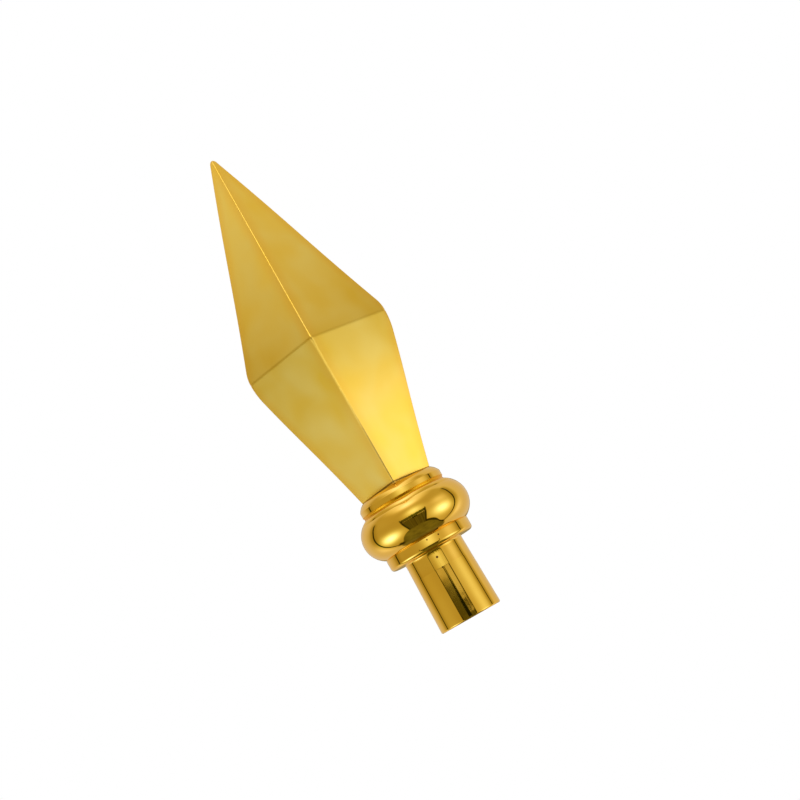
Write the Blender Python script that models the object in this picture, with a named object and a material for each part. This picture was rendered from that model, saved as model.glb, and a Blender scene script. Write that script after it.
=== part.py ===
"""A spear-shaped finial for the top of a flagpole, standing on its open end.

Two moulded and gold-plated pieces make it. The blade is four-sided, with its ridges along X and Y,
and is widest at a shoulder above its middle. The ferrule under it is turned: a rounded collar, a
cove, a bulging ring, a second collar and a tapered tube, which slides over the end of the pole.
Sizes are in metres, and +Z is the axis, with the tube's mouth at height 0.
"""

import math

import bmesh
import bpy
import numpy as np

# Ferrule, from the mouth up
POLE_RADIUS = 0.0150
POLE_CLEARANCE = 0.0001
SOCKET_DEPTH = 0.0500
SOCKET_DRAFT = 0.012  # radius lost for each metre up
TUBE_WALL = 0.0024  # at the mouth
TUBE_DRAFT = 0.024
TUBE_LENGTH = 0.0419
TUBE_FILLET = 0.0012
MOUTH_ROUNDING = 0.0009
MOUTH_CHAMFER = 0.0004
LOWER_COLLAR_HEIGHT = 0.0070
LOWER_COLLAR_FLARE = 0.0003  # how much wider it is than the upper collar
LOWER_COLLAR_LEDGE = 0.0004  # how far it stands out past the bulge's foot
LOWER_COLLAR_ROUNDING = 0.0020
BULGE_HEIGHT = 0.0242
BULGE_PROJECTION = 0.0073
COVE_HEIGHT = 0.0018
COVE_DEPTH = 0.0005
UPPER_COLLAR_HEIGHT = 0.0071
UPPER_COLLAR_SLOPE_WIDTH = 0.0034  # its sloping top edge, which is slightly crowned
UPPER_COLLAR_SLOPE_HEIGHT = 0.0038
UPPER_COLLAR_CROWN = 0.00035
FOOT_LEDGE = 0.00015  # flat left around the blade's foot

# Blade
SEAM_GAP = 0.0003
FOOT_HALF_DIAGONAL = 0.0211
FOOT_TO_SHOULDER = 0.0870
SHOULDER_HALF_DIAGONAL = 0.0441
SHOULDER_TO_TIP = 0.1207
TIP_HALF_DIAGONAL = 0.0016
TIP_DOME = 0.0016
LOWER_SWAY = 0.06  # how much steeper the lower ridges run at their middle than at their ends
UPPER_SWAY = -0.04  # the upper ridges run steeper at their ends
RIDGE_RADIUS = 0.00075
SHOULDER_RADIUS = 0.0042  # of the two ridges on X
FRONT_SHOULDER_RADIUS = 0.0012  # of the two ridges on Y, in front and behind
FADE_BELOW = 0.0120  # distance over which the shoulder's rounding runs out down a ridge
FADE_ABOVE = 0.0075

# Facets
TURN_STEPS = 64
SLOPE_STEPS = 5
COVE_STEPS = 4
BULGE_STEPS = 16
LEDGE_STEPS = 2
CORNER_STEPS = 4
LIP_STEPS = 3
RIDGE_STEPS = 6
BEND_RINGS = 7
STRAIGHT_RINGS = 9
DOME_RISES = (0.5, 0.85)  # shares of the dome's height
SHARP_ANGLE = 25.0

# Finishes
POLISHED_GOLD = (0.83, 0.58, 0.15)
POLISHED_ROUGHNESS = 0.06
SATIN_GOLD = (0.78, 0.58, 0.20)
SATIN_ROUGHNESS = 0.36

top_flat_radius = FOOT_HALF_DIAGONAL + FOOT_LEDGE
upper_collar_radius = top_flat_radius + UPPER_COLLAR_SLOPE_WIDTH
lower_collar_radius = upper_collar_radius + LOWER_COLLAR_FLARE
bulge_foot_radius = lower_collar_radius - LOWER_COLLAR_LEDGE
bore_end_radius = POLE_RADIUS + POLE_CLEARANCE
bore_mouth_radius = bore_end_radius + SOCKET_DRAFT * SOCKET_DEPTH
tube_mouth_radius = bore_mouth_radius + TUBE_WALL

bulge_foot = TUBE_LENGTH + LOWER_COLLAR_HEIGHT
bulge_top = bulge_foot + BULGE_HEIGHT
upper_collar_foot = bulge_top + COVE_HEIGHT
ferrule_top = upper_collar_foot + UPPER_COLLAR_HEIGHT
blade_foot = ferrule_top + SEAM_GAP
shoulder = blade_foot + FOOT_TO_SHOULDER
tip = shoulder + SHOULDER_TO_TIP


def clear_scene():
    for old in list(bpy.data.objects):
        bpy.data.objects.remove(old)


def gold(name, colour, roughness):
    """A gold-plated finish."""
    material = bpy.data.materials.new(name)
    material.use_nodes = True
    shader = material.node_tree.nodes["Principled BSDF"]
    shader.inputs["Base Color"].default_value = (*colour, 1.0)
    shader.inputs["Metallic"].default_value = 1.0
    shader.inputs["Roughness"].default_value = roughness
    return material


def add_object(name, mesh, material):
    mesh.materials.append(material)
    new = bpy.data.objects.new(name, mesh)
    bpy.context.scene.collection.objects.link(new)
    return new


def round_arc(centre, arc_radius, start, end, steps):
    """Points (radius, height) round a centre, from one angle to another in degrees, both ends included."""
    return [
        (centre[0] + arc_radius * math.cos(angle), centre[1] + arc_radius * math.sin(angle))
        for angle in np.radians(np.linspace(start, end, steps + 1))
    ]


def bowed_arc(start, end, rise, steps):
    """Points on a circular arc from start to end, which stands out from its chord by rise at its middle.

    Going down, a positive rise stands away from the axis and a negative one hollows. Both ends are left out.
    """
    chord = math.dist(start, end)
    arc_radius = (rise**2 + chord**2 / 4) / (2 * abs(rise))
    reach = math.acos(1 - abs(rise) / arc_radius)
    side = math.copysign(1.0, rise)
    along = ((end[0] - start[0]) / chord, (end[1] - start[1]) / chord)
    outward = (-along[1], along[0])
    points = []
    for angle in np.linspace(-reach, reach, steps + 1)[1:-1]:
        run = chord / 2 + arc_radius * math.sin(angle)
        stand = side * (abs(rise) - arc_radius * (1 - math.cos(angle)))
        points.append((
            start[0] + along[0] * run + outward[0] * stand,
            start[1] + along[1] * run + outward[1] * stand,
        ))
    return points


def tube_radius(height):
    return tube_mouth_radius - TUBE_DRAFT * height


def ferrule_profile():
    """The turned outline, from the axis at the top, down the outside and up the socket to the axis."""
    slope_top = (top_flat_radius, ferrule_top)
    slope_end = (upper_collar_radius, ferrule_top - UPPER_COLLAR_SLOPE_HEIGHT)
    upper_collar_edge = (upper_collar_radius, upper_collar_foot)
    cove_end = (upper_collar_radius, bulge_top)
    bulge_end = (bulge_foot_radius, bulge_foot)
    ledge = LOWER_COLLAR_LEDGE
    corner = LOWER_COLLAR_ROUNDING
    fillet_foot = TUBE_LENGTH - TUBE_FILLET
    fillet_centre = (tube_radius(fillet_foot) + TUBE_FILLET, fillet_foot)
    lip_centre = (tube_radius(MOUTH_ROUNDING) - MOUTH_ROUNDING, MOUTH_ROUNDING)
    return [
        (0.0, ferrule_top),
        slope_top,
        *bowed_arc(slope_top, slope_end, UPPER_COLLAR_CROWN, SLOPE_STEPS),
        slope_end,
        upper_collar_edge,
        *bowed_arc(upper_collar_edge, cove_end, -COVE_DEPTH, COVE_STEPS),
        cove_end,
        *bowed_arc(cove_end, bulge_end, BULGE_PROJECTION, BULGE_STEPS),
        *round_arc((bulge_foot_radius, bulge_foot - ledge), ledge, 90, 0, LEDGE_STEPS),
        *round_arc((lower_collar_radius - corner, TUBE_LENGTH + corner), corner, 0, -90, CORNER_STEPS),
        *round_arc(fillet_centre, TUBE_FILLET, 90, 180, CORNER_STEPS),
        *round_arc(lip_centre, MOUTH_ROUNDING, 0, -90, LIP_STEPS),
        (bore_mouth_radius + MOUTH_CHAMFER, 0.0),
        (bore_mouth_radius - SOCKET_DRAFT * MOUTH_CHAMFER, MOUTH_CHAMFER),
        (bore_end_radius, SOCKET_DEPTH),
        (0.0, SOCKET_DEPTH),
    ]


def make_ferrule():
    """The turned piece, as its outline swept once round the axis."""
    profile = ferrule_profile()
    mesh = bpy.data.meshes.new("ferrule")
    mesh.from_pydata(
        [(radius, 0.0, height) for radius, height in profile],
        [(i, i + 1) for i in range(len(profile) - 1)],
        [],
    )
    ferrule = add_object("ferrule", mesh, gold("polished gold", POLISHED_GOLD, POLISHED_ROUGHNESS))
    turn = ferrule.modifiers.new("turn", "SCREW")
    turn.axis = "Z"
    turn.angle = math.tau
    turn.steps = TURN_STEPS
    turn.render_steps = TURN_STEPS
    turn.use_merge_vertices = True
    turn.merge_threshold = 0.00001
    turn.use_smooth_shade = True
    return ferrule


def swayed(share, sway):
    """A share from 0 to 1 with its two ends kept, which runs faster at the middle for a positive sway."""
    return share - sway * math.sin(math.tau * share) / math.tau


def half_diagonal(height):
    """From the axis to where two faces of the blade would meet with no rounding."""
    if height < shoulder:
        share = swayed((height - blade_foot) / FOOT_TO_SHOULDER, LOWER_SWAY)
        return FOOT_HALF_DIAGONAL + share * (SHOULDER_HALF_DIAGONAL - FOOT_HALF_DIAGONAL)
    share = swayed((height - shoulder) / SHOULDER_TO_TIP, UPPER_SWAY)
    return SHOULDER_HALF_DIAGONAL + share * (TIP_HALF_DIAGONAL - SHOULDER_HALF_DIAGONAL)


def ridge_radius(height, swelling):
    """The rounding of a ridge of the blade, which swells to that radius at the shoulder."""
    fade = FADE_BELOW if height < shoulder else FADE_ABOVE
    nearness = max(0.0, 1 - abs(height - shoulder) / fade)
    return RIDGE_RADIUS + (swelling - RIDGE_RADIUS) * nearness**2


def blade_ring(height, scale=1.0):
    """One level of the blade: a square with rounded corners on the X and Y axes."""
    reach = half_diagonal(height)
    points = []
    for quarter in range(4):
        turn = quarter * math.pi / 2
        swelling = (SHOULDER_RADIUS, FRONT_SHOULDER_RADIUS)[quarter % 2]
        radius = min(ridge_radius(height, swelling), reach / 2)
        centre = reach - radius * math.sqrt(2)
        for angle in np.linspace(-math.pi / 4, math.pi / 4, RIDGE_STEPS + 1):
            x = scale * (centre + radius * math.cos(angle))
            y = scale * radius * math.sin(angle)
            points.append((
                x * math.cos(turn) - y * math.sin(turn),
                x * math.sin(turn) + y * math.cos(turn),
                height,
            ))
    return points


def blade_levels():
    """Heights of the blade's rings, closer together where its ridges bend."""
    below = np.linspace(blade_foot, shoulder - FADE_BELOW, STRAIGHT_RINGS)
    bend_below = np.linspace(shoulder - FADE_BELOW, shoulder, BEND_RINGS)[1:]
    bend_above = np.linspace(shoulder, shoulder + FADE_ABOVE, BEND_RINGS)[1:]
    above = np.linspace(shoulder + FADE_ABOVE, tip - TIP_DOME, STRAIGHT_RINGS)[1:]
    return [*below, *bend_below, *bend_above, *above]


def make_blade():
    """The four-sided piece, as rings joined level by level and closed by a small dome at the tip."""
    rings = [blade_ring(height) for height in blade_levels()]
    for rise in DOME_RISES:
        rings.append(blade_ring(tip - TIP_DOME * (1 - rise), math.sqrt(1 - rise**2)))
    shape = bmesh.new()
    loops = [[shape.verts.new(point) for point in ring] for ring in rings]
    for lower, upper in zip(loops, loops[1:]):
        for i in range(len(lower)):
            after = (i + 1) % len(lower)
            shape.faces.new((lower[i], lower[after], upper[after], upper[i]))
    shape.faces.new(reversed(loops[0]))
    point = shape.verts.new((0.0, 0.0, tip))
    for i in range(len(loops[-1])):
        shape.faces.new((loops[-1][i], loops[-1][(i + 1) % len(loops[-1])], point))
    mesh = bpy.data.meshes.new("spear_blade")
    shape.to_mesh(mesh)
    shape.free()
    mesh.shade_smooth()
    mesh.set_sharp_from_angle(angle=math.radians(SHARP_ANGLE))
    return add_object("spear_blade", mesh, gold("satin gold", SATIN_GOLD, SATIN_ROUGHNESS))


clear_scene()
make_ferrule()
make_blade()
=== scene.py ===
# %% [markdown]
# # A gold spear finial for a flagpole
#
# The finial is two moulded pieces with a gold plating: a four-sided spear blade with a satin
# finish, and a turned ferrule below it that is polished like a mirror. This file dresses the
# finished frame: it replaces the two plain solids with finer surfaces of the same shapes, gives
# each its plating, and photographs them in a light tent.
#
# The frame is loaded first, and its box is kept, so that the dressed part can be measured against it.

# %% Load the frame
import math

import bpy
import numpy as np
from mathutils import Matrix, Vector


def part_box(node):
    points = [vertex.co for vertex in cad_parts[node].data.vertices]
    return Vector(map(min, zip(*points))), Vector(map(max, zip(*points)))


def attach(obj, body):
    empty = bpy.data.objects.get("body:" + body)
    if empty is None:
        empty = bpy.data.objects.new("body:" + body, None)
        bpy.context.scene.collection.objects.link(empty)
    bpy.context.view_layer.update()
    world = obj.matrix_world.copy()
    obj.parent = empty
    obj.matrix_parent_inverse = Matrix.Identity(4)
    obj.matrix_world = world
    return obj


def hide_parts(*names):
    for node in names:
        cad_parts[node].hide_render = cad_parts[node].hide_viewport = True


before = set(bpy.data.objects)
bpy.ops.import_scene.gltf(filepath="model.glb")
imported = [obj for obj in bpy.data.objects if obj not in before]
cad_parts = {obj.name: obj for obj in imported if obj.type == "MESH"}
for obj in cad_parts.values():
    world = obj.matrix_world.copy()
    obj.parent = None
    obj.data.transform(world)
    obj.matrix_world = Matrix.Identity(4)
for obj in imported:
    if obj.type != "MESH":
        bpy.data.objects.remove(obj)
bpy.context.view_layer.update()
MM = 0.001
blade_low, blade_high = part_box("spear_blade")
ferrule_low, ferrule_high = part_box("ferrule")

# %% [markdown]
# ## A mesh from a grid of points
#
# Both pieces are closed loops of points, stacked along the axis. One numpy array of shape
# (rows, columns, 3) holds them all. The columns run once round the axis, and each end is closed
# by a fan of triangles to a single pole, so nothing is left open. Spin or Screw would also do for
# the turned piece, but an array lets a formula place the rows exactly where the outline bends.

# %% Mesh helper
def closed_loops(name, rows, low_pole, high_pole):
    """A mesh from loops of points, rows counted upwards and columns anticlockwise seen from above.

    Quad (i, j) joins row i to row i + 1 and column j to column j + 1, which wraps round at the end.
    Each pole joins one end row in a fan of triangles.
    """
    count, around = rows.shape[:2]
    index = np.arange(count * around).reshape(count, around)
    after = np.roll(index, -1, axis=1)
    quads = np.stack([index[:-1], after[:-1], after[1:], index[1:]], axis=-1).reshape(-1, 4)
    low, high = count * around, count * around + 1
    bottom = np.stack([after[0], index[0], np.full(around, low)], axis=-1)
    top = np.stack([index[-1], after[-1], np.full(around, high)], axis=-1)
    points = np.concatenate([rows.reshape(-1, 3), [low_pole, high_pole]])
    mesh = bpy.data.meshes.new(name)
    mesh.from_pydata(points.tolist(), [], quads.tolist() + bottom.tolist() + top.tolist())
    mesh.validate()
    mesh.shade_smooth()
    piece = bpy.data.objects.new(name, mesh)
    bpy.context.scene.collection.objects.link(piece)
    print(f"{name}: {len(points)} points, {2 * len(quads) + 2 * around} triangles")
    return piece


# %% [markdown]
# ## The spear blade
#
# On the real piece four flat faces meet in ridges that are barely rounded. The ridges run out to a
# shoulder above the blade's middle, turn there and run in to the tip. It could be a cube scaled at
# three heights with bevelled edges, but the rounding isn't even: at the shoulder it swells to a wide
# curve on the two side corners, and stays nearly sharp on the front and back ones. So each level is
# a formula: a square, turned so that its corners lie on X and Y, with a radius for each pair of
# corners at that height.

# %% Blade sizes
FOOT_HALF_DIAGONAL = 21.1 * MM
SHOULDER_HALF_DIAGONAL = 44.1 * MM
SHOULDER_TO_TIP = 120.7 * MM
TIP_HALF_DIAGONAL = 1.6 * MM
TIP_DOME = 1.6 * MM
LOWER_SWAY = 0.06
UPPER_SWAY = -0.04
RIDGE_RADIUS = 0.75 * MM
SHOULDER_RADIUS = 4.2 * MM
FRONT_SHOULDER_RADIUS = 1.2 * MM
FADE_BELOW = 12.0 * MM
FADE_ABOVE = 7.5 * MM
CREASE_REACH = 0.9 * MM
FOOT_SOFTENING = 0.35 * MM

tip = blade_high.z
shoulder = tip - SHOULDER_TO_TIP
blade_foot = ferrule_high.z
FOOT_TO_SHOULDER = shoulder - blade_low.z
print("blade foot, shoulder and tip, mm:", [round(h / MM, 2) for h in (blade_foot, shoulder, tip)])

# %% [markdown]
# ## How far the ridges stand out
#
# Seen from the side, a ridge is two nearly straight runs that meet at the shoulder. A curve drawn by
# hand would do, but two formulas hold both runs exactly: one for the distance from the axis at a
# height, and one for the rounding there.

# %% Blade formulas
def swayed(share, sway):
    """A share from 0 to 1 that keeps its ends and runs faster at its middle for a positive sway."""
    return share - sway * np.sin(math.tau * share) / math.tau


def sharp_reach(height):
    """From the axis to a ridge with no rounding: two nearly straight runs that meet at the shoulder."""
    low = swayed((height - blade_low.z) / FOOT_TO_SHOULDER, LOWER_SWAY)
    high = swayed((height - shoulder) / SHOULDER_TO_TIP, UPPER_SWAY)
    below = FOOT_HALF_DIAGONAL + low * (SHOULDER_HALF_DIAGONAL - FOOT_HALF_DIAGONAL)
    above = SHOULDER_HALF_DIAGONAL + high * (TIP_HALF_DIAGONAL - SHOULDER_HALF_DIAGONAL)
    return np.where(height < shoulder, below, above)


def ridge_reach(height):
    """The same, with a small parabola instead of the kink, which takes the shoulder's crease off sharp.

    Inside the crease the value is the mean of its two ends, plus the parabola between them.
    """
    inside = np.clip((height - shoulder) / CREASE_REACH, -1.0, 1.0)
    left = sharp_reach(np.asarray(shoulder - CREASE_REACH))
    right = sharp_reach(np.asarray(shoulder + CREASE_REACH))
    peak = SHOULDER_HALF_DIAGONAL
    bow = (left + right) / 2 + inside * (right - left) / 2 + (1 - inside**2) * (peak - (left + right) / 2) / 2
    return np.where(np.abs(height - shoulder) < CREASE_REACH, bow, sharp_reach(height))


def ridge_radius(height, swelling):
    """A ridge's rounding: small, and growing with the square of the nearness to the shoulder."""
    fade = np.where(height < shoulder, FADE_BELOW, FADE_ABOVE)
    nearness = np.clip(1 - np.abs(height - shoulder) / fade, 0.0, None)
    return RIDGE_RADIUS + (swelling - RIDGE_RADIUS) * nearness**2


print("ridge rounding at the shoulder, side and front, mm:", [round(float(ridge_radius(shoulder, wide)) / MM, 2)
      for wide in (SHOULDER_RADIUS, FRONT_SHOULDER_RADIUS)])

# %% [markdown]
# ## The blade's surface
#
# A loop of points goes once round the blade at each height. The loops stand close together where
# the form bends, at the foot's soft edge, the shoulder and the tip, and far apart on the flats. A
# Bevel modifier would add points in the same places, but it gives every edge the same width.

# %% Blade loops
def blade_loops(heights, scale, corner_steps=12, face_steps=22):
    """One loop for each height: four corner arcs, and between them four flat faces.

    A corner is an arc of 90 degrees about a centre on its axis. Corners 0 and 2 lie on X and 1 and 3
    on Y. A face's points are spread with a cosine, closest together beside the arcs, so that its
    shading stays flat up to them.
    """
    reach = ridge_reach(heights)
    angle = np.linspace(-math.pi / 4, math.pi / 4, corner_steps + 1)
    corners = []
    for quarter in range(4):
        swelling = (SHOULDER_RADIUS, FRONT_SHOULDER_RADIUS)[quarter % 2]
        radius = np.minimum(ridge_radius(heights, swelling), reach / 2)
        x = (reach - radius * math.sqrt(2))[:, None] + radius[:, None] * np.cos(angle)
        y = radius[:, None] * np.sin(angle)
        sine, cosine = round(math.sin(quarter * math.pi / 2)), round(math.cos(quarter * math.pi / 2))
        corners.append(np.stack([x * cosine - y * sine, x * sine + y * cosine], axis=-1))
    spread = (1 - np.cos(np.linspace(0, math.pi, face_steps + 1)[1:-1, None])) / 2
    plan = []
    for corner, following in zip(corners, corners[1:] + corners[:1]):
        start, end = corner[:, -1:], following[:, :1]
        plan += [corner, start + spread * (end - start)]
    plan = np.concatenate(plan, axis=1) * scale[:, None, None]
    up = np.broadcast_to(heights[:, None, None], (*plan.shape[:2], 1))
    return np.concatenate([plan, up], axis=-1)


# %% Blade rows
FOOT_ROWS = 5
LOWER_ROWS = 60
BEND_ROWS = 30
CREASE_ROWS = 27
BEND_ROWS_ABOVE = 20
UPPER_ROWS = 90
DOME_ROWS = 9


def blade_rows():
    """Heights of the loops and a scale for each, which is below 1 only at the foot's edge and at the tip."""
    soft = np.linspace(0, 1, FOOT_ROWS)
    foot_z = blade_foot + FOOT_SOFTENING * soft
    foot_scale = 1 - FOOT_SOFTENING / FOOT_HALF_DIAGONAL * (1 - np.sqrt(1 - (1 - soft) ** 2))
    straight = np.linspace(foot_z[-1], shoulder - FADE_BELOW, LOWER_ROWS)[1:]
    bend = np.linspace(shoulder - FADE_BELOW, shoulder - 2 * CREASE_REACH, BEND_ROWS)[1:]
    crease = np.linspace(shoulder - 2 * CREASE_REACH, shoulder + 2 * CREASE_REACH, CREASE_ROWS)[1:]
    bend_above = np.linspace(shoulder + 2 * CREASE_REACH, shoulder + FADE_ABOVE, BEND_ROWS_ABOVE)[1:]
    above = np.linspace(shoulder + FADE_ABOVE, tip - TIP_DOME, UPPER_ROWS)[1:]
    rise = np.sin(np.linspace(0, math.pi / 2, DOME_ROWS)[1:-1])
    dome = tip - TIP_DOME * (1 - rise)
    plain = np.concatenate([straight, bend, crease, bend_above, above])
    heights = np.concatenate([foot_z, plain, dome])
    scale = np.concatenate([foot_scale, np.ones(len(plain)), np.sqrt(1 - rise**2)])
    return heights, scale


heights, scale = blade_rows()
loops = blade_loops(heights, scale)
blade = closed_loops("gold_spear_blade", loops, (0, 0, blade_foot), (0, 0, tip))
print("blade reach in X and Y against its solid, mm:", [round(value / MM, 3) for value in
      (loops[..., 0].max(), loops[..., 1].max(), blade_high.x, blade_high.y)])

# %% [markdown]
# ## The ferrule
#
# The ferrule is a turned shape: its whole form is one outline, carried once round the axis. The
# outline runs from the axis at the top, out over the collar's sloping edge, down the cove, the
# bulging ring, the lower collar and the tube, round its lip, and back up the socket.
#
# Mirror-bright plating shows every kink as a line, so the outline isn't left as straight pieces.
# It is first drawn with many points, then averaged along its own length, which rounds each corner
# by a few tenths of a millimetre. Last, the points are shared out again so that they gather where
# the outline bends and are sparse where it runs straight.

# %% Ferrule sizes
POLE_RADIUS = 15.1 * MM
SOCKET_DEPTH = 50.0 * MM
SOCKET_DRAFT = 0.012
TUBE_WALL = 2.4 * MM
TUBE_DRAFT = 0.024
TUBE_LENGTH = 41.9 * MM
TUBE_FILLET = 1.2 * MM
MOUTH_ROUNDING = 0.9 * MM
MOUTH_CHAMFER = 0.4 * MM
LOWER_COLLAR_HEIGHT = 7.0 * MM
LOWER_COLLAR_RADIUS = 24.95 * MM
LOWER_COLLAR_LEDGE = 0.4 * MM
LOWER_COLLAR_ROUNDING = 2.0 * MM
BULGE_HEIGHT = 24.2 * MM
BULGE_PROJECTION = 7.3 * MM
COVE_HEIGHT = 1.8 * MM
COVE_DEPTH = 0.5 * MM
UPPER_COLLAR_RADIUS = 24.65 * MM
UPPER_SLOPE_WIDTH = 3.4 * MM
UPPER_SLOPE_HEIGHT = 3.8 * MM
UPPER_COLLAR_CROWN = 0.35 * MM
CORNER_SOFTENING = 0.12 * MM

ferrule_top = ferrule_high.z
bulge_foot = TUBE_LENGTH + LOWER_COLLAR_HEIGHT
bulge_top = bulge_foot + BULGE_HEIGHT
cove_top = bulge_top + COVE_HEIGHT
bore_mouth = POLE_RADIUS + SOCKET_DRAFT * SOCKET_DEPTH
tube_mouth = bore_mouth + TUBE_WALL
print("bulge from and to, mm:", round(bulge_foot / MM, 2), round(bulge_top / MM, 2))

# %% [markdown]
# ## Arcs and bows
#
# A turner's outline is made of a few standard cuts: rounded corners, and long shallow curves. Each
# is a function here, which gives its points as (radius, height). A Bezier curve could trace the same
# outline, but an arc with a stated radius is easier to measure and to change.

# %% Outline helpers
def arc(centre, radius, start, end, steps=24):
    """Points (radius, height) round a centre, from one angle to another in degrees."""
    angle = np.radians(np.linspace(start, end, steps + 1))
    return np.stack([centre[0] + radius * np.cos(angle), centre[1] + radius * np.sin(angle)], axis=-1)


def bow(start, end, rise, steps=60):
    """A circular arc from start to end that stands off its chord by rise at its middle.

    The arc's radius is (rise squared + half the chord squared) / (2 rise). Going down, a positive
    rise stands away from the axis.
    """
    start, end = np.array(start), np.array(end)
    chord = np.linalg.norm(end - start)
    along = (end - start) / chord
    outward = np.array([-along[1], along[0]])
    radius = (rise**2 + chord**2 / 4) / (2 * abs(rise))
    sweep = math.acos(1 - abs(rise) / radius)
    angle = np.linspace(-sweep, sweep, steps + 1)[:, None]
    stand = math.copysign(1, rise) * (abs(rise) - radius * (1 - np.cos(angle)))
    return start + along * (chord / 2 + radius * np.sin(angle)) + outward * stand


# %% [markdown]
# ## Spacing and softening an outline
#
# A plain list of arcs has too many points in some places and too few in others. These three steps
# repair that, each for the whole outline at once.

# %% Spacing helpers
def evenly(points, spacing):
    """The same polyline with its points about that far apart, by linear interpolation along its length."""
    run = np.concatenate([[0], np.cumsum(np.linalg.norm(np.diff(points, axis=0), axis=1))])
    places = np.linspace(0, run[-1], max(2, int(run[-1] / spacing)))
    return np.stack([np.interp(places, run, points[:, k]) for k in range(2)], axis=-1)


def softened(points, spacing, reach):
    """Each point becomes the Gaussian mean of its neighbours within reach, and the two ends stay."""
    half = int(3 * reach / spacing)
    weight = np.exp(-0.5 * (np.arange(-half, half + 1) * spacing / reach) ** 2)
    weight /= weight.sum()
    before = 2 * points[:1] - points[half:0:-1]
    beyond = 2 * points[-1:] - points[-2:-half - 2:-1]
    padded = np.concatenate([before, points, beyond])
    return np.stack([np.convolve(padded[:, k], weight, mode="valid") for k in range(2)], axis=-1)


def shared_out(points, count, longest=2.2 * MM, sharpest=math.radians(3.5)):
    """count points along the outline, each the same cost from the next.

    A step costs its length over the longest step wished, plus its turn over the sharpest turn wished.
    """
    step = np.diff(points, axis=0)
    length = np.linalg.norm(step, axis=1)
    heading = np.unwrap(np.arctan2(step[:, 1], step[:, 0]))
    turn = np.abs(np.gradient(heading))
    cost = np.concatenate([[0], np.cumsum(length / longest + turn / sharpest)])
    places = np.linspace(0, cost[-1], count)
    return np.stack([np.interp(places, cost, points[:, k]) for k in range(2)], axis=-1)


# %% [markdown]
# ## The ferrule's own outline
#
# The whole outline is one list of runs, in the order in which a turner would cut them from the top
# down and then up the socket. What joins two forms is worked out from both, so that a longer tube or
# a wider collar moves its neighbours with it.

# %% Ferrule outline
def tube_radius(height):
    """The tube's outside narrows evenly upwards, so that it leaves its mould."""
    return tube_mouth - TUBE_DRAFT * height


def ferrule_outline():
    """All the outline's straight runs and arcs, from the top's middle to the socket's end."""
    slope_top = (UPPER_COLLAR_RADIUS - UPPER_SLOPE_WIDTH, ferrule_top)
    slope_end = (UPPER_COLLAR_RADIUS, ferrule_top - UPPER_SLOPE_HEIGHT)
    collar_edge = (UPPER_COLLAR_RADIUS, cove_top)
    cove_end = (UPPER_COLLAR_RADIUS, bulge_top)
    foot_radius = LOWER_COLLAR_RADIUS - LOWER_COLLAR_LEDGE
    corner = LOWER_COLLAR_ROUNDING
    fillet_foot = TUBE_LENGTH - TUBE_FILLET
    fillet_centre = (tube_radius(fillet_foot) + TUBE_FILLET, fillet_foot)
    lip_centre = (tube_radius(MOUTH_ROUNDING) - MOUTH_ROUNDING, MOUTH_ROUNDING)
    return np.concatenate([
        [(0, ferrule_top)],
        bow(slope_top, slope_end, UPPER_COLLAR_CROWN),
        bow(collar_edge, cove_end, -COVE_DEPTH),
        bow(cove_end, (foot_radius, bulge_foot), BULGE_PROJECTION, 160),
        arc((foot_radius, bulge_foot - LOWER_COLLAR_LEDGE), LOWER_COLLAR_LEDGE, 90, 0),
        arc((LOWER_COLLAR_RADIUS - corner, TUBE_LENGTH + corner), corner, 0, -90),
        arc(fillet_centre, TUBE_FILLET, 90, 180),
        arc(lip_centre, MOUTH_ROUNDING, 0, -90),
        [(bore_mouth + MOUTH_CHAMFER, 0)],
        [(bore_mouth, MOUTH_CHAMFER)],
        [(POLE_RADIUS, SOCKET_DEPTH)],
        [(0, SOCKET_DEPTH)],
    ])


# %% [markdown]
# ## Turning the ferrule
#
# The outline is softened, its points are shared out, and a copy of it stands at every step round the
# axis. The Screw modifier does the same with a curve. The array also lets both ends close at the axis.

# %% Ferrule surface
OUTLINE_SPACING = 0.03 * MM
OUTLINE_POINTS = 300
FERRULE_COLUMNS = 288
outline = evenly(ferrule_outline(), OUTLINE_SPACING)
outline = softened(outline, OUTLINE_SPACING, CORNER_SOFTENING)
outline = shared_out(outline, OUTLINE_POINTS)
outline[:, 1] = np.clip(outline[:, 1], 0, ferrule_top)
print("outline:", len(outline), "points; bulge against its solid, mm:",
      round(outline[:, 0].max() / MM, 3), round(ferrule_high.x / MM, 3))


def turned(name, outline, columns):
    """The outline carried round the axis: x = radius cos(angle), y = radius sin(angle), z = height.

    The outline runs down the outside, so its rows are counted from its far end for faces that point out.
    """
    angle = np.arange(columns) * math.tau / columns
    rows = outline[::-1][1:-1]
    x = rows[:, :1] * np.cos(angle)
    y = rows[:, :1] * np.sin(angle)
    z = np.repeat(rows[:, 1:], columns, axis=1)
    return closed_loops(name, np.stack([x, y, z], axis=-1), (0, 0, outline[-1, 1]), (0, 0, outline[0, 1]))


ferrule = turned("gold_ferrule", outline, FERRULE_COLUMNS)

# %% [markdown]
# ## Fixing the pieces to the frame
#
# Nothing on the finial moves, so both pieces ride on the one body. Each stands for its own solid,
# which is hidden.

# %% Ride and replace
for piece, node, slot in ((blade, "spear_blade", "satin_gold"), (ferrule, "ferrule", "polished_gold")):
    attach(piece, "root")
    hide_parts(node)
    print(piece.name, "stands for", node)

# %% [markdown]
# ## Node helpers
#
# Materials are networks of small nodes. A few helpers keep them readable: one adds a node with its
# settings, one gives an input a link or a value, and the others make the nodes that are used most,
# for sums, smooth steps and mixed colours.

# %% Node helpers
def add(tree, kind, settings=None, **inputs):
    """A node of that kind. Each input is a value, or another node's socket to link from."""
    node = tree.nodes.new(kind)
    for key, value in (settings or {}).items():
        setattr(node, key, value)
    for key, value in inputs.items():
        give(tree, node.inputs[key.replace("_", " ")], value)
    return node


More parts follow.
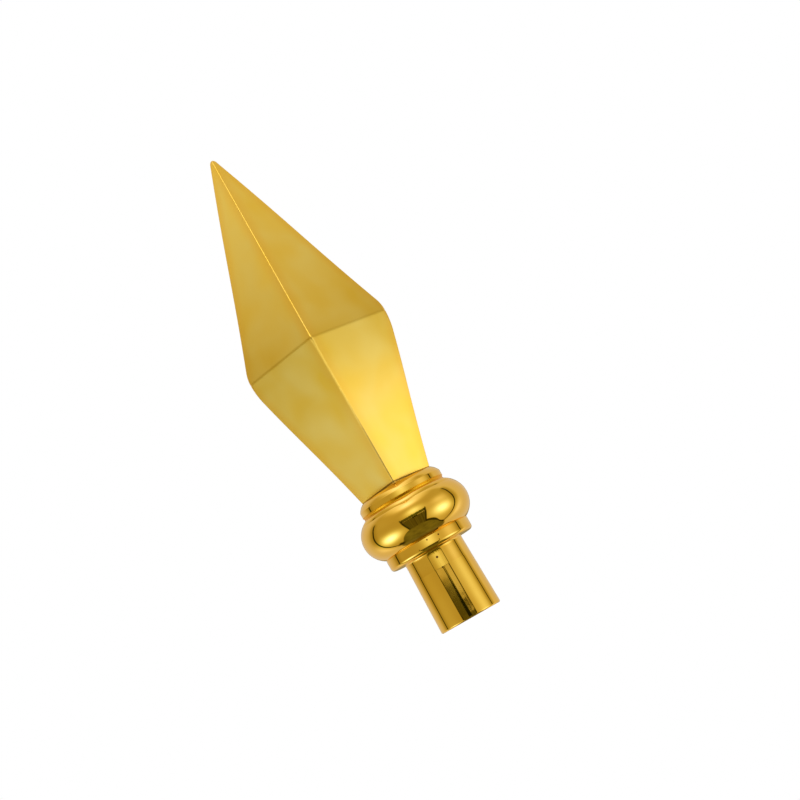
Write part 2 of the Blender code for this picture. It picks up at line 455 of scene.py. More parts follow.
def give(tree, socket, value):
    """Links a socket to the input, or sets the input to a value."""
    if isinstance(value, bpy.types.NodeSocket):
        tree.links.new(value, socket)
    else:
        socket.default_value = value


def calc(tree, operation, *values):
    """A Math node's result."""
    node = tree.nodes.new("ShaderNodeMath")
    node.operation = operation
    for socket, value in zip(node.inputs, values):
        give(tree, socket, value)
    return node.outputs[0]


def ramp(tree, value, low, high, to_low=0.0, to_high=1.0):
    """A smooth step of the value from low to high."""
    node = add(tree, "ShaderNodeMapRange", {"interpolation_type": "SMOOTHSTEP"}, Value=value)
    for key, number in (("From Min", low), ("From Max", high), ("To Min", to_low), ("To Max", to_high)):
        node.inputs[key].default_value = number
    return node.outputs[0]


def blend(tree, factor, one, other):
    """A colour mixed from one to another."""
    node = tree.nodes.new("ShaderNodeMix")
    node.data_type = "RGBA"
    for socket, value in zip((node.inputs[0], node.inputs[6], node.inputs[7]), (factor, one, other)):
        give(tree, socket, value)
    return node.outputs[2]


# %% [markdown]
# ## Group helpers
#
# An effect that both finishes need is built once, as a node group with named sockets, and placed in
# each material with its own values. One helper makes a group, and the other places it.

# %% Group helpers
def group(name, inputs, outputs):
    """A shader node group with named inputs (name, value) and outputs (name, type), and its two end nodes."""
    tree = bpy.data.node_groups.new(name, "ShaderNodeTree")
    for label, value in inputs:
        socket = tree.interface.new_socket(label, in_out="INPUT", socket_type="NodeSocketFloat")
        socket.default_value = value
    for label, kind in outputs:
        tree.interface.new_socket(label, in_out="OUTPUT", socket_type=kind)
    return tree, tree.nodes.new("NodeGroupInput"), tree.nodes.new("NodeGroupOutput")


def place(tree, made, **values):
    """The group placed in a material, with its own values."""
    node = tree.nodes.new("ShaderNodeGroup")
    node.node_tree = made
    for key, value in values.items():
        give(tree, node.inputs[key.replace("_", " ")], value)
    return node


# %% [markdown]
# ## Clouds that both finishes share
#
# Thin plating follows the moulding below it. Large faces are never quite flat, and their finish is
# cloudy where the polish was uneven. This group is noise on Object coordinates, so the clouds stay
# on the piece when it turns. It gives a mask for colour and roughness, and a height for slow waves.
# An image of clouds would show its seams and its pixels. Noise has neither.

# %% Clouds group
MM_PER_METRE = 1000.0
CLOUD_MIDDLE = 0.52
clouds, clouds_in, clouds_out = group(
    "plating clouds",
    [("Size", 25.0), ("Softness", 0.25), ("Seed", 0.0)],
    [("Mask", "NodeSocketFloat"), ("Height", "NodeSocketFloat")],
)
place_on = clouds.nodes.new("ShaderNodeTexCoord").outputs["Object"]
shifted = add(clouds, "ShaderNodeVectorMath", {"operation": "ADD"})
clouds.links.new(place_on, shifted.inputs[0])
clouds.links.new(clouds_in.outputs["Seed"], shifted.inputs[1])
per_metre = calc(clouds, "DIVIDE", MM_PER_METRE, clouds_in.outputs["Size"])
noise = add(clouds, "ShaderNodeTexNoise", {"noise_dimensions": "3D"}, Vector=shifted.outputs[0],
            Scale=per_metre, Detail=1.5, Roughness=0.4, Distortion=0.25)
low = calc(clouds, "SUBTRACT", CLOUD_MIDDLE, clouds_in.outputs["Softness"])
spread = calc(clouds, "MULTIPLY", clouds_in.outputs["Softness"], 2.0)
mask = calc(clouds, "DIVIDE", calc(clouds, "SUBTRACT", noise.outputs["Fac"], low), spread)
mask = calc(clouds, "MINIMUM", calc(clouds, "MAXIMUM", mask, 0.0), 1.0)
clouds.links.new(mask, clouds_out.inputs["Mask"])
clouds.links.new(noise.outputs["Fac"], clouds_out.inputs["Height"])
print("group:", clouds.name)

# %% [markdown]
# ## Specks
#
# Small pits stay where the plating didn't bridge the moulding. A Voronoi texture cuts space into
# cells, each with a centre and a random colour. A speck is what lies close to a centre, and only in
# the few cells whose colour has enough red.

# %% Specks group
FEW_CELLS = (0.90, 0.92)
specks, specks_in, specks_out = group(
    "plating specks",
    [("Size", 6.0), ("Width", 0.05)],
    [("Mask", "NodeSocketFloat")],
)
cells = add(specks, "ShaderNodeTexVoronoi", {"feature": "F1"},
            Vector=specks.nodes.new("ShaderNodeTexCoord").outputs["Object"],
            Scale=calc(specks, "DIVIDE", MM_PER_METRE, specks_in.outputs["Size"]))
cell_red = add(specks, "ShaderNodeSeparateColor", Color=cells.outputs["Color"]).outputs["Red"]
chosen = ramp(specks, cell_red, *FEW_CELLS)
near = calc(specks, "LESS_THAN", cells.outputs["Distance"], specks_in.outputs["Width"])
specks.links.new(calc(specks, "MULTIPLY", near, chosen), specks_out.inputs["Mask"])
print("group:", specks.name)

# %% [markdown]
# ## Satin gold for the blade
#
# The blade's plating is brushed soft, so it shows broad glows and no mirror images. Its colour is a
# metal's own, so Metallic is 1 and the base colour carries the gold. Along the ridges, where the
# plating builds up, it is a little more orange. A ridge lies where X or Y is zero, so the smaller of
# the two, taken without its sign, is the distance to it.

# %% Satin gold
SATIN_DEEP = (0.93, 0.66, 0.10, 1)
SATIN_PALE = (0.93, 0.745, 0.215, 1)
RIDGE_ORANGE = (0.92, 0.57, 0.07, 1)


def new_material(name):
    """A material with its Principled shader, and its node tree."""
    material = bpy.data.materials.new(name)
    material.use_nodes = True
    return material, material.node_tree, material.node_tree.nodes["Principled BSDF"]


satin, tree, shader = new_material("satin gold plating")
shader.inputs["Metallic"].default_value = 1.0
where = add(tree, "ShaderNodeSeparateXYZ", Vector=tree.nodes.new("ShaderNodeTexCoord").outputs["Object"])
from_front_ridge = calc(tree, "ABSOLUTE", where.outputs["X"])
from_side_ridge = calc(tree, "ABSOLUTE", where.outputs["Y"])
from_ridge = calc(tree, "MINIMUM", from_front_ridge, from_side_ridge)
ridge = ramp(tree, from_ridge, 0.5 * MM, 6 * MM, 1.0, 0.0)
cloud = place(tree, clouds, Size=21.0, Softness=0.24, Seed=0.4)
colour = blend(tree, cloud.outputs["Mask"], SATIN_DEEP, SATIN_PALE)
colour = blend(tree, calc(tree, "MULTIPLY", ridge, 0.5), colour, RIDGE_ORANGE)

# %% [markdown]
# ## Dark lines painted on the blade
#
# Two dark lines are painted as masks on the same coordinates. One is painted shade in the joint at
# the foot, where the gap between the pieces would lie in shadow. On the real blade it rises a little
# towards the front and back ridges, so its height falls with the distance from them. The other is a
# painted dark reflection on the edge of those two ridges near the foot, where they mirror the dark
# opening in front, and it fades out higher up.

# %% Blade lines
JOINT_HEIGHT = 1.35 * MM
JOINT_FALL = 0.05
JOINT_SHADE_BROWN = (0.20, 0.11, 0.02, 1)
EDGE_REFLECTION_DARK = (0.25, 0.15, 0.03, 1)
EDGE_FADES_FROM = 22 * MM
EDGE_FADES_TO = 45 * MM

falling = calc(tree, "MULTIPLY", from_front_ridge, JOINT_FALL)
line_height = calc(tree, "SUBTRACT", blade_foot + JOINT_HEIGHT, falling)
from_line = calc(tree, "ABSOLUTE", calc(tree, "SUBTRACT", where.outputs["Z"], line_height))
# Painted shade: a dark line in the joint at the foot, where its gap would lie in shadow.
joint = ramp(tree, from_line, 0.25 * MM, 0.60 * MM, 0.85, 0.0)
colour = blend(tree, joint, colour, JOINT_SHADE_BROWN)
# Painted reflection: the front and back ridges are darkened near the foot, where they mirror the dark opening.
edge_dark_reflection = ramp(tree, from_front_ridge, 0.15 * MM, 0.60 * MM, 0.55, 0.0)
low_down = ramp(tree, where.outputs["Z"], blade_foot + EDGE_FADES_FROM, blade_foot + EDGE_FADES_TO, 1.0, 0.0)
colour = blend(tree, calc(tree, "MULTIPLY", edge_dark_reflection, low_down), colour, EDGE_REFLECTION_DARK)
tree.links.new(colour, shader.inputs["Base Color"])
print("joint line above the blade's foot, mm:", round(JOINT_HEIGHT / MM, 2))

# %% [markdown]
# ## The satin surface
#
# Two Bump nodes stand one behind the other. The first bends the faces slowly, by a tenth of a
# millimetre over a couple of centimetres. The second is a fine grain that only softens the glows.

# %% Satin surface
SATIN_ROUGHNESS = (0.33, 0.39)
SATIN_WAVE = 0.10 * MM
SATIN_GRAIN = 0.004 * MM

tree.links.new(ramp(tree, cloud.outputs["Mask"], 0.0, 1.0, *SATIN_ROUGHNESS), shader.inputs["Roughness"])
fine = place(tree, clouds, Size=1.1, Softness=0.4, Seed=2.0)
wave = add(tree, "ShaderNodeBump", Strength=1.0, Distance=SATIN_WAVE, Height=cloud.outputs["Height"])
grain = add(tree, "ShaderNodeBump", Strength=1.0, Distance=SATIN_GRAIN, Height=fine.outputs["Height"],
            Normal=wave.outputs["Normal"])
tree.links.new(grain.outputs["Normal"], shader.inputs["Normal"])
blade.data.materials.append(satin)
print("blade wears", satin.name)

# %% [markdown]
# ## Mirror gold for the ferrule
#
# The ferrule is polished after plating, and what it shows is the room: soft boxes, the seams of the
# tent and the dark opening in front. So its material stays simple, with a very low roughness. The
# polishing wheel can't reach into the cove below the upper collar, which stays duller, and there
# the colour is pushed towards orange as a painted warm reflection of the gold around it. Five pits
# stand at places of their own on the front, beside the scattered specks.

# %% Mirror gold
MIRROR_DEEP = (0.93, 0.60, 0.10, 1)
MIRROR_PALE = (0.97, 0.66, 0.13, 1)
COVE_REFLECTION_ORANGE = (0.93, 0.50, 0.02, 1)
PIT_BROWN = (0.12, 0.05, 0.01, 1)
PITS = (  # place across the front, height, distance from the axis, and radius
    (0.3 * MM, 37.0 * MM, tube_radius(37.0 * MM), 0.70 * MM),
    (0.2 * MM, 30.9 * MM, tube_radius(30.9 * MM), 0.45 * MM),
    (0.2 * MM, 47.3 * MM, LOWER_COLLAR_RADIUS, 0.45 * MM),
    (6.9 * MM, 46.9 * MM, LOWER_COLLAR_RADIUS, 0.48 * MM),
    (13.3 * MM, 16.6 * MM, tube_radius(16.6 * MM), 0.35 * MM),
)

mirror, tree, shader = new_material("mirror gold plating")
shader.inputs["Metallic"].default_value = 1.0
on_piece = tree.nodes.new("ShaderNodeTexCoord").outputs["Object"]
haze = place(tree, clouds, Size=14.0, Softness=0.2, Seed=5.0)
scattered = place(tree, specks, Size=9.0, Width=0.035)
pits = scattered.outputs["Mask"]
for across, height, from_axis, size in PITS:
    distance = add(tree, "ShaderNodeVectorMath", {"operation": "DISTANCE"})
    tree.links.new(on_piece, distance.inputs[0])
    distance.inputs[1].default_value = (across, -math.sqrt(from_axis**2 - across**2), height)
    pit = ramp(tree, distance.outputs["Value"], 0.7 * size, 1.2 * size, 1.0, 0.0)
    pits = calc(tree, "MAXIMUM", pits, pit)
print("pits on the front:", len(PITS))

# %% [markdown]
# ## The cove's duller finish and painted reflection
#
# The cove is a band of height, so the distance from its middle height gives a mask. The mask moves
# the colour towards orange, a painted warm reflection of the gold around the cove, and adds to the
# roughness.

# %% Mirror colour and roughness
COVE_MIDDLE = (bulge_top + cove_top) / 2 + 0.3 * MM
COVE_DULLNESS = 0.34
MIRROR_ROUGHNESS = (0.03, 0.05)

up_axis = add(tree, "ShaderNodeSeparateXYZ", Vector=on_piece).outputs["Z"]
from_cove = calc(tree, "ABSOLUTE", calc(tree, "SUBTRACT", up_axis, COVE_MIDDLE))
cove = ramp(tree, from_cove, 0.85 * MM, 1.3 * MM, 1.0, 0.0)
colour = blend(tree, haze.outputs["Mask"], MIRROR_DEEP, MIRROR_PALE)
# Painted reflection: the cove's colour is pushed towards orange, besides its real dullness.
colour = blend(tree, cove, colour, COVE_REFLECTION_ORANGE)
colour = blend(tree, pits, colour, PIT_BROWN)
tree.links.new(colour, shader.inputs["Base Color"])
polish = ramp(tree, haze.outputs["Mask"], 0.0, 1.0, *MIRROR_ROUGHNESS)
tree.links.new(calc(tree, "MULTIPLY_ADD", cove, COVE_DULLNESS, polish), shader.inputs["Roughness"])
print("cove's middle height, mm:", round(COVE_MIDDLE / MM, 2))

# %% [markdown]
# ## Bands that lean
#
# Seen from the level of the foot, an upright wall mirrors what stands level with it: here the dark
# opening. On the real ferrule the collars and the top of the tube mirror something higher, because
# their walls lean back by a few degrees. A lean that small hardly shows in the outline, so it is put
# into the shading alone: a height that changes evenly over a band, in a Bump node, turns the normal
# by the same angle all over the band. The bulge's top edge leans the other way, and far more. A
# slow wave follows the lean, as on any moulded surface.

# %% Leaning bands
LEANING_BANDS = (  # lower end, upper end, and degrees by which the plating leans back
    (31.2 * MM, TUBE_LENGTH - 1.0 * MM, 6.4),
    (TUBE_LENGTH + 2.1 * MM, bulge_foot - 0.3 * MM, 9.2),
    (bulge_top - 2.4 * MM, bulge_top - 0.1 * MM, -30.0),
    (cove_top + 0.1 * MM, ferrule_top - UPPER_SLOPE_HEIGHT + 0.4 * MM, 8.3),
)
MIRROR_WAVE = 0.012 * MM

lean_height = 0.0
for low_end, high_end, degrees in LEANING_BANDS:
    fall = -math.tan(math.radians(degrees)) * (high_end - low_end)
    band = add(tree, "ShaderNodeMapRange", Value=up_axis)
    for key, number in (("From Min", low_end), ("From Max", high_end), ("To Min", 0.0), ("To Max", fall)):
        band.inputs[key].default_value = number
    lean_height = calc(tree, "ADD", lean_height, band.outputs[0])
leaning = add(tree, "ShaderNodeBump", Strength=1.0, Distance=1.0, Height=lean_height)
slow = place(tree, clouds, Size=9.0, Softness=0.3, Seed=8.0)
wave = add(tree, "ShaderNodeBump", Strength=1.0, Distance=MIRROR_WAVE, Height=slow.outputs["Height"],
           Normal=leaning.outputs["Normal"])
tree.links.new(wave.outputs["Normal"], shader.inputs["Normal"])
ferrule.data.materials.append(mirror)
print("ferrule wears", mirror.name, "with leaning bands:", len(LEANING_BANDS))

# %% [markdown]
# ## The light tent
#
# Polished gold is photographed inside a tent of white cloth. Every dark or bright patch on the
# metal is something in that tent: two soft boxes to the sides, a bright top, a dark opening where
# the camera looks in, a seam at each side, and a shaded floor. The tent is painted on the world
# as a function of direction, so it needs no walls and adds no noise. Azimuth 0 is the camera's side,
# and all the angles below are degrees.
#
# Each patch is one number for brightness. The last step turns brightness into colour.

# %% World helpers
world = bpy.data.worlds.new("light tent")
bpy.context.scene.world = world
world.use_nodes = True
sky = world.node_tree
sky.nodes.clear()
DEGREE = math.degrees(1)


def times(one, other):
    """The product of two sockets or numbers, in the tent's tree."""
    return calc(sky, "MULTIPLY", one, other)


def apart(value, middle):
    """How far a value is from a middle, without its sign."""
    return calc(sky, "ABSOLUTE", calc(sky, "SUBTRACT", value, middle))


looking = sky.nodes.new("ShaderNodeTexCoord").outputs["Generated"]
direction = add(sky, "ShaderNodeSeparateXYZ", Vector=looking)
towards_camera = times(direction.outputs["Y"], -1.0)
azimuth = times(calc(sky, "ARCTAN2", direction.outputs["X"], towards_camera), DEGREE)
elevation = times(calc(sky, "ARCSINE", direction.outputs["Z"]), DEGREE)
off_front = calc(sky, "ABSOLUTE", azimuth)

# %% [markdown]
# ## Brushes for the tent
#
# Three brushes paint it. One adds a soft oval glow. One gives a band with soft edges. The last pulls
# the light towards a level where a mask says so, which keeps what is painted later on top.

# %% Tent brushes
def glow(azimuth_at, elevation_at, wide, tall, height):
    """A soft oval patch: height times e to minus the squared distance, in widths, from its middle."""
    a = calc(sky, "DIVIDE", calc(sky, "SUBTRACT", azimuth, azimuth_at), wide)
    e = calc(sky, "DIVIDE", calc(sky, "SUBTRACT", elevation, elevation_at), tall)
    square = calc(sky, "ADD", times(a, a), times(e, e))
    return times(calc(sky, "EXPONENT", times(square, -1.0)), height)


def between(value, low, high, soft):
    """1 between two limits and 0 outside, with soft edges."""
    above = ramp(sky, value, low - soft, low + soft)
    below = ramp(sky, value, high - soft, high + soft, 1.0, 0.0)
    return times(above, below)


def darken(light, mask, to):
    """The light pulled towards a level where the mask is 1."""
    return calc(sky, "ADD", times(light, calc(sky, "SUBTRACT", 1.0, mask)), times(mask, to))


# %% [markdown]
# ## Walls, top and soft boxes
#
# The front walls are dimmer than the ones beyond the seams, and the wall behind is dimmest. A broad
# belt above the front walls is dim too, and the top is bright. Seven glows are added: three soft
# boxes, and four patches of the light that they leave on the cloth.

# %% Tent walls and boxes
FRONT_WALLS = (0.49, 0.60)
SIDE_WALLS = 0.72
BACK_WALL = 0.35
UPPER_BELT = 0.52
TENT_TOP = 1.08
CLOTH_GLOWS = (  # azimuth, elevation, half width, half height, brightness
    (64, 19, 17, 12, 0.30),
    (-3, 66, 42, 12, 0.62),
    (-113, -36, 13, 20, 0.42),
    (111, -32, 12, 20, 0.32),
)
LEFT_BOX = (-68, -25, 25, 16, 1.38)
RIGHT_BOX = (63, -18, 21, 18, 1.1)
BOX_ABOVE_OPENING = (5, 28, 19, 14, 0.68)

light = ramp(sky, azimuth, -20, 40, *FRONT_WALLS)
light = darken(light, ramp(sky, azimuth, 98, 114), SIDE_WALLS)
light = darken(light, ramp(sky, azimuth, -138, -100, 1.0, 0.0), SIDE_WALLS)
light = darken(light, between(off_front, 168, 190, 4.0), BACK_WALL)
belt = times(between(elevation, 26, 62, 12.0), ramp(sky, off_front, 94, 112, 1.0, 0.0))
light = darken(light, belt, UPPER_BELT)
light = darken(light, ramp(sky, elevation, 52, 82), TENT_TOP)
for patch in CLOTH_GLOWS:
    light = calc(sky, "ADD", light, glow(*patch))
boxes = calc(sky, "ADD", glow(*LEFT_BOX), glow(*RIGHT_BOX))
boxes = calc(sky, "ADD", boxes, glow(*BOX_ABOVE_OPENING))
light = calc(sky, "ADD", light, boxes)
print("glows on the cloth:", len(CLOTH_GLOWS) + 3)

# %% [markdown]
# ## Seams
#
# A seam is a thin dark line down each side, with a soft shade on the cloth beside it. Near its top
# it leans back, away from the camera, and it ends below the tent's top.

# %% Tent seams
SEAMS = ((-1, -101, 3.0), (1, 97, 2.4))  # side, azimuth and half width
SEAM_LEAN = 7.0
SEAM_DARK = 0.03
SHADE_REACH = 19.0
SHADE_DARK = 0.3

for side, at, width in SEAMS:
    lean = calc(sky, "ADD", at, times(ramp(sky, elevation, 15, 48), SEAM_LEAN * side))
    away = apart(azimuth, lean)
    reach = ramp(sky, elevation, 36, 44, 1.0, 0.0)
    line = times(ramp(sky, away, width * 0.4, width * 1.2, 1.0, 0.0), reach)
    deep = times(ramp(sky, elevation, -24, 6, 0.25, 0.64), reach)
    shade = times(ramp(sky, away, 0.0, SHADE_REACH, 1.0, 0.0), deep)
    light = darken(light, shade, SHADE_DARK)
    light = darken(light, line, SEAM_DARK)
print("seams at:", [at for side, at, width in SEAMS])

# %% [markdown]
# ## The shaded floor
#
# Below the opening lies the floor, in shade and a little mottled. Its edge is highest at the front
# and drops away to both sides. A dark hem runs along it at the sides.

# %% Tent floor
FLOOR_EDGE = (-37.0, -61.5)
FLOOR_MOTTLE = 0.20
FLOOR_DARK = 0.06
HEM_WIDTH = (5.5, 1.8)
HEM_DARK = 0.035

floor_edge = ramp(sky, off_front, 14, 82, *FLOOR_EDGE)
above_floor = calc(sky, "SUBTRACT", elevation, floor_edge)
mottle = add(sky, "ShaderNodeTexNoise", {"noise_dimensions": "3D"}, Vector=looking, Scale=5.0, Detail=2.0)
floor_light = calc(sky, "MULTIPLY_ADD", mottle.outputs["Fac"], FLOOR_MOTTLE, FLOOR_DARK)
light = darken(light, ramp(sky, above_floor, -2.0, 1.5, 1.0, 0.0), floor_light)
hem_width = ramp(sky, azimuth, 38, 66, *HEM_WIDTH)
from_hem = calc(sky, "DIVIDE", calc(sky, "ABSOLUTE", above_floor), hem_width)
beside = calc(sky, "ADD", between(azimuth, 17, 104, 4.0), between(azimuth, -108, -84, 8.0))
light = darken(light, times(ramp(sky, from_hem, 0.4, 1.2, 1.0, 0.0), beside), HEM_DARK)

# %% [markdown]
# ## The opening
#
# The cloth is parted at the front, where the camera looks in from a dark room. The opening is wider
# at its top, its upper edge is ragged, and the dark in it is streaked. The ends of the parted cloth
# stand up a little at its two upper corners.

# %% Tent opening
OPENING_HALF_WIDTH = (23.0, 29.5)
OPENING_BOTTOM = -39
OPENING_TOP = 15.5
OPENING_SHIFT = -0.3
EDGE_DARK = 0.035
RIM_DARK = 0.14

streaks = add(sky, "ShaderNodeTexNoise", {"noise_dimensions": "1D"}, W=times(azimuth, 0.34),
              Scale=1.0, Detail=2.0)
ragged = calc(sky, "MULTIPLY_ADD", streaks.outputs["Fac"], 7.0, -3.5)
half_width = ramp(sky, elevation, -40, 17, *OPENING_HALF_WIDTH)
inside = calc(sky, "SUBTRACT", apart(azimuth, OPENING_SHIFT), half_width)
ragged_elevation = calc(sky, "ADD", elevation, times(ramp(sky, elevation, 0, 14), ragged))
opening = times(ramp(sky, inside, -1.2, 1.2, 1.0, 0.0),
                between(ragged_elevation, OPENING_BOTTOM, OPENING_TOP, 1.2))
opening_light = calc(sky, "MULTIPLY_ADD", streaks.outputs["Fac"], 0.16, 0.02)
opening_light = darken(opening_light, between(inside, -4.0, 2.0, 1.5), EDGE_DARK)
light = darken(light, opening, opening_light)
rims = times(between(inside, -1.6, 0.9, 0.7), between(elevation, 10, 18.6, 0.8))
light = darken(light, rims, RIM_DARK)

# %% [markdown]
# ## Things seen low in the opening
#
# The tube is upright, so it stretches a few degrees of the room over its whole height. On it stand a
# pale thing to the left that fades downwards, a pale sliver and something mottled to the right, and
# between them a black wedge, widest at its foot.

# %% Left of the wedge
PALE = (0.09, 0.70)
SLIVER = 0.68
left_part = times(between(azimuth, -26.5, 5, 1.0), between(elevation, 2.4, 4.45, 0.10))
light = darken(light, left_part, ramp(sky, elevation, 3.72, 4.28, *PALE))
sliver = times(between(azimuth, 7.5, 25.0, 1.3), between(elevation, 3.42, 4.45, 0.06))
light = darken(light, sliver, SLIVER)

# %% [markdown]
# ## The mottled thing and the wedge
#
# The mottled thing is noise, stretched because a degree of height is a long way on the tube. One
# bright line crosses it. The wedge comes last, so that it stands before the rest.

# %% Right of the wedge, and the wedge
MOTTLED = (0.04, 0.55)
BRIGHT_LINE = 0.8
WEDGE_AT = 2.0
WEDGE_HALF_WIDTH = (6.0, 1.0)
WEDGE_DARK = 0.012

stretched = add(sky, "ShaderNodeCombineXYZ", X=times(azimuth, 0.22), Y=times(elevation, 9.0)).outputs[0]
flecks = add(sky, "ShaderNodeTexNoise", {"noise_dimensions": "2D"}, Scale=1.0, Detail=1.0, Vector=stretched)
mottled = times(between(azimuth, 5, 26, 1.5), between(elevation, 2.4, 3.42, 0.06))
light = darken(light, mottled, ramp(sky, flecks.outputs["Fac"], 0.48, 0.72, *MOTTLED))
bright_line = times(between(azimuth, 9, 26, 2.0), between(elevation, 2.84, 2.94, 0.03))
light = darken(light, bright_line, BRIGHT_LINE)
wedge_half = ramp(sky, elevation, 2.95, 4.5, *WEDGE_HALF_WIDTH)
from_wedge = calc(sky, "SUBTRACT", apart(azimuth, WEDGE_AT), wedge_half)
wedge = ramp(sky, from_wedge, -0.9, 0.9, 1.0, 0.0)
light = darken(light, times(wedge, between(elevation, 0.0, 4.5, 0.05)), WEDGE_DARK)

# %% [markdown]
# ## The tent's colour
#
# Dim cloth in a gold object's light is warm, and bright cloth is white. So red is the brightness
# itself, and green and blue are powers of it, which fall faster as it dims. The boxes are whiter
# than the cloth, the darkest places are greyer, and the cloth behind is paler. The camera itself
# sees plain white instead of the tent.

# %% Tent colour
GREEN_POWER = 1.2
GREEN_SHARE = 0.91
BLUE_POWER = 2.5
BLUE_SHARE = 0.86

grey = times(light, ramp(sky, light, 0.12, 0.42, 0.28, 0.0))
green = calc(sky, "ADD", times(calc(sky, "POWER", light, GREEN_POWER), GREEN_SHARE),
             calc(sky, "MULTIPLY_ADD", boxes, 0.19, grey))
pale = times(ramp(sky, off_front, 102, 125, 0.0, 0.15), light)
pale = calc(sky, "MULTIPLY_ADD", grey, 0.55, pale)
blue = calc(sky, "ADD", times(calc(sky, "POWER", light, BLUE_POWER), BLUE_SHARE), pale)
tint = add(sky, "ShaderNodeCombineColor", Red=light, Green=green, Blue=blue)
tent = add(sky, "ShaderNodeBackground", Color=tint.outputs[0], Strength=1.0)
plain = add(sky, "ShaderNodeBackground", Color=(1, 1, 1, 1), Strength=1.0)
choose = sky.nodes.new("ShaderNodeMixShader")
seen = sky.nodes.new("ShaderNodeLightPath")
sky.links.new(seen.outputs["Is Camera Ray"], choose.inputs[0])
sky.links.new(tent.outputs[0], choose.inputs[1])
sky.links.new(plain.outputs[0], choose.inputs[2])
sky.links.new(choose.outputs[0], add(sky, "ShaderNodeOutputWorld").inputs["Surface"])
print("tent nodes:", len(sky.nodes))

# %% [markdown]
# ## The floor
#
# The finial stands on a plain pale floor that runs out into a white background. A round sheet
# catches the contact shadow. Much of its brightness is its own glow, so the shadow stays faint, and
# its slightly blue colour makes up for the warm light of the tent. It is left out of mirror
# reflections, where the tent's own floor shows instead.

# %% Floor
FLOOR_RADIUS = 0.9
FLOOR_DROP = 0.2 * MM
FLOOR_SIDES = 64
FLOOR_COLOUR = (0.62, 0.70, 0.95, 1)
FLOOR_GLOW = 0.62

ring = np.arange(FLOOR_SIDES) * math.tau / FLOOR_SIDES
below = np.full(FLOOR_SIDES, -FLOOR_DROP)
disc = np.stack([FLOOR_RADIUS * np.cos(ring), FLOOR_RADIUS * np.sin(ring), below], axis=-1)
mesh = bpy.data.meshes.new("studio_floor")
mesh.from_pydata(disc.tolist(), [], [list(range(FLOOR_SIDES))])
floor = bpy.data.objects.new("studio_floor", mesh)
bpy.context.scene.collection.objects.link(floor)
material, tree, shader = new_material("white floor")
shader.inputs["Base Color"].default_value = FLOOR_COLOUR
shader.inputs["Roughness"].default_value = 1.0
shader.inputs["Specular IOR Level"].default_value = 0.0
shader.inputs["Emission Color"].default_value = (1, 1, 1, 1)
shader.inputs["Emission Strength"].default_value = FLOOR_GLOW
mesh.materials.append(material)
floor.visible_glossy = False
print("floor radius, m:", FLOOR_RADIUS)

# %% [markdown]
# ## Soft lights for the blade
#
# The blade's satin faces need more light than the mirror-bright ferrule, which would show every lamp.
# In a real studio a flag would keep the lamps off the ferrule. Here light linking does it: each lamp
# has a receiver collection that holds only the blade.

# %% Lamp helper
lit_by_lamps = bpy.data.collections.new("lit by lamps")
lit_by_lamps.objects.link(blade)


def soft_lamp(name, azimuth_at, elevation_at, height_at, away, wide, tall, radiance, colour):
    """A rectangular area lamp that shines on the blade alone, aimed at a height on the axis.

    It stands away from that height, in a direction given in degrees. Its power is radiance times pi
    times its area.
    """
    turn, rise = math.radians(azimuth_at), math.radians(elevation_at)
    toward = Vector((math.sin(turn) * math.cos(rise), -math.cos(turn) * math.cos(rise), math.sin(rise)))
    lamp = bpy.data.lights.new(name, "AREA")
    lamp.shape = "RECTANGLE"
    lamp.size = wide
    lamp.size_y = tall
    lamp.energy = radiance * math.pi * wide * tall
    lamp.color = colour
    holder = bpy.data.objects.new(name, lamp)
    holder.location = Vector((0, 0, height_at)) + toward * away
    holder.rotation_euler = toward.to_track_quat("Z", "Y").to_euler()
    holder.visible_camera = False
    holder.light_linking.receiver_collection = lit_by_lamps
    bpy.context.scene.collection.objects.link(holder)
    print(name, "power, watts:", round(lamp.energy, 3))


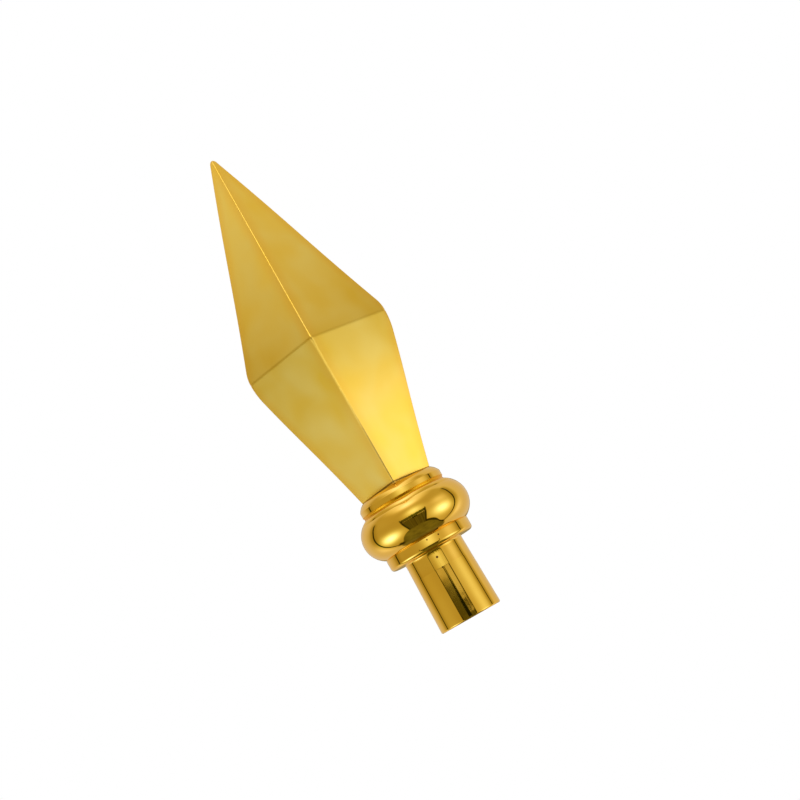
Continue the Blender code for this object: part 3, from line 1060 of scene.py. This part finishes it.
# %% [markdown]
# ## Where the lamps stand
#
# One lamp belongs to each of the four faces that the camera sees, at the side where a ray from the
# camera goes on after the face: high for the upper faces and low for the lower ones. The lower left
# face gets little light, and amber. Two more in front light the ridges.

# %% Blade lights
PLAIN = (1.0, 1.0, 1.0)
WARM = (1.0, 0.955, 0.84)
WARMER = (1.0, 0.86, 0.60)
AMBER = (1.0, 0.50, 0.10)
soft_lamp("lamp right high", 99, 36, 0.28, 0.60, 0.34, 0.34, 0.345, WARM)
soft_lamp("lamp left high", -99, 36, 0.28, 0.60, 0.34, 0.34, 0.51, WARM)
soft_lamp("lamp right low", 92, -15, 0.120, 0.36, 0.24, 0.12, 1.05, WARMER)
soft_lamp("lamp left low", -92, -15, 0.095, 0.36, 0.24, 0.12, 0.13, AMBER)
soft_lamp("lamp front high", 0, 42, 0.22, 0.60, 0.30, 0.40, 1.6, PLAIN)
soft_lamp("lamp front low", 0, -20, 0.15, 0.26, 0.14, 0.10, 1.6, PLAIN)

# %% [markdown]
# ## The camera
#
# The photograph was taken from the level of the finial's foot, a little over a metre away, with the
# camera rolled so that the finial leans across the picture. The camera is aimed at a point beside
# the finial and then rolled about its own line of sight. It needs no shift.

# %% Camera
CAMERA_AT = Vector((0.0110, -1.09, 0.0))
CAMERA_AIM = Vector((0.02491, 0.0, 0.12189))
CAMERA_ROLL = math.radians(29.778)
LENS_MM = 90.36
SENSOR_MM = 36.0

forward = (CAMERA_AIM - CAMERA_AT).normalized()
level = forward.cross(Vector((0, 0, 1))).normalized()
upright = level.cross(forward)
right = level * math.cos(CAMERA_ROLL) - upright * math.sin(CAMERA_ROLL)
up = level * math.sin(CAMERA_ROLL) + upright * math.cos(CAMERA_ROLL)
lens = bpy.data.cameras.new("camera")
lens.lens = LENS_MM
lens.sensor_width = SENSOR_MM
camera = bpy.data.objects.new("camera", lens)
bpy.context.scene.collection.objects.link(camera)
camera.matrix_world = Matrix.Translation(CAMERA_AT) @ Matrix((right, up, -forward)).transposed().to_4x4()
bpy.context.scene.camera = camera
bpy.context.scene.view_settings.view_transform = "Standard"
print("camera pitch, degrees:", round(math.degrees(math.asin(forward.z)), 2))
